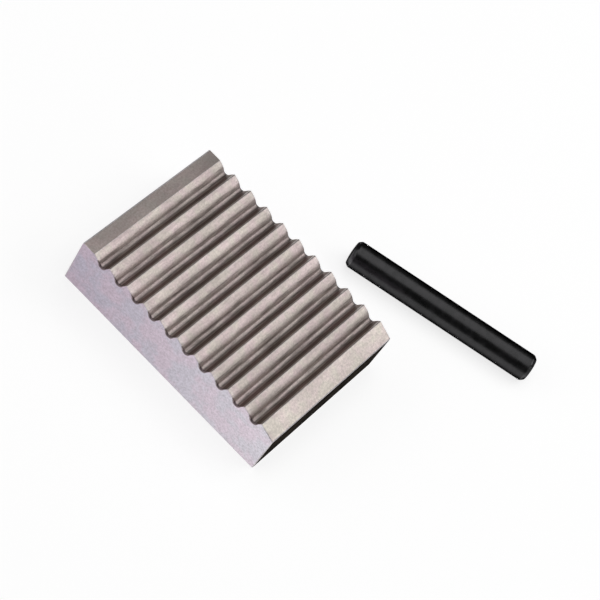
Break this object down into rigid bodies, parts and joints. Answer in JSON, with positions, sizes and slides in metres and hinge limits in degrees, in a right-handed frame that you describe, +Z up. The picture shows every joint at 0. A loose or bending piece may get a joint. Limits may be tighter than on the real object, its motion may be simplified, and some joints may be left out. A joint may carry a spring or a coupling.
{
  "type": "pipe wrench heel jaw with retaining pin",
  "caption": "Flat steel wrench jaw with a row of slanted crosswise teeth, a flat underside and square ends, and its loose black retaining pin lying beside it.",
  "frame": {"origin": "centre of the jaw's flat underside, which lies on the surface at Z = 0", "axes": "+Z up out of the teeth, +X along the jaw from its flat-topped end to its square heel end, Y along the teeth; the pin lies on the +Y side"},
  "size_m": [0.0791, 0.0696, 0.0131],
  "materials": {
    "jaw_steel": "ground hardened tool steel, satin, bare",
    "pin_black_oxide": "black oxide over drill rod, satin, oiled"
  },
  "bodies": {
    "jaw": {"heel_jaw": "jaw_steel"},
    "pin": {"retaining_pin": "pin_black_oxide"}
  },
  "joints": [
    {"name": "pin_lift", "type": "slide", "parent": "jaw", "child": "pin", "axis": [0, 0, 1], "range_m": [0, 0.04]}
  ]
}
